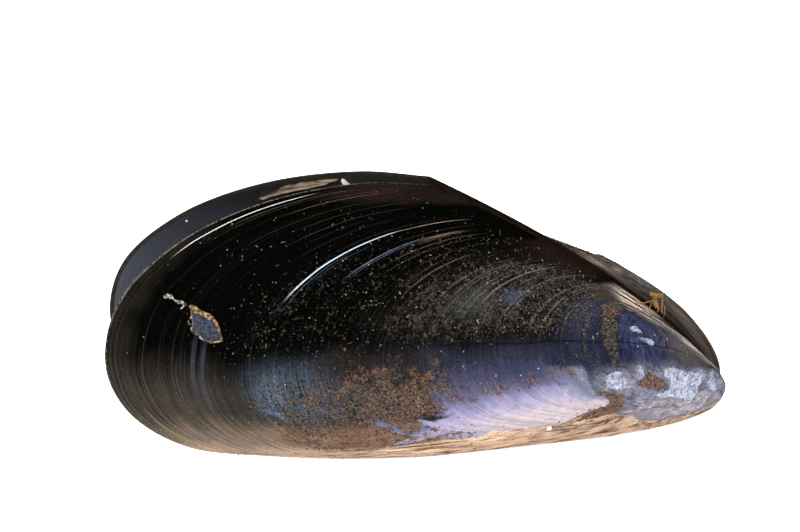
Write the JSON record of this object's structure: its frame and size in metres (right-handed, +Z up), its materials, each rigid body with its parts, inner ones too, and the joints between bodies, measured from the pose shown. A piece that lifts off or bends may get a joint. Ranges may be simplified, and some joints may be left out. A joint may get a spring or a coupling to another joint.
{
  "type": "mussel shell",
  "caption": "Whole mussel shell, both valves joined at the hinge and slightly agape, with growth ledges, a ligament and a hollow inside; stands hinge up on its lower edges.",
  "frame": {"origin": "middle of the underside of the shell's box, on the surface that it stands on", "axes": "+X towards the beaks, along the shell's length; +Y towards the left valve; +Z up, towards the hinge"},
  "size_m": [0.0674, 0.0322, 0.0342],
  "materials": {
    "right_shell": "gloss",
    "left_shell": "gloss",
    "ligament": "satin",
    "dried_tissue": "matte",
    "byssus": "satin"
  },
  "bodies": {
    "root": {"right_valve": "right_shell", "left_valve": "left_shell", "ligament": "ligament", "dried_mantle": "dried_tissue", "byssus_threads": "byssus"}
  },
  "joints": []
}
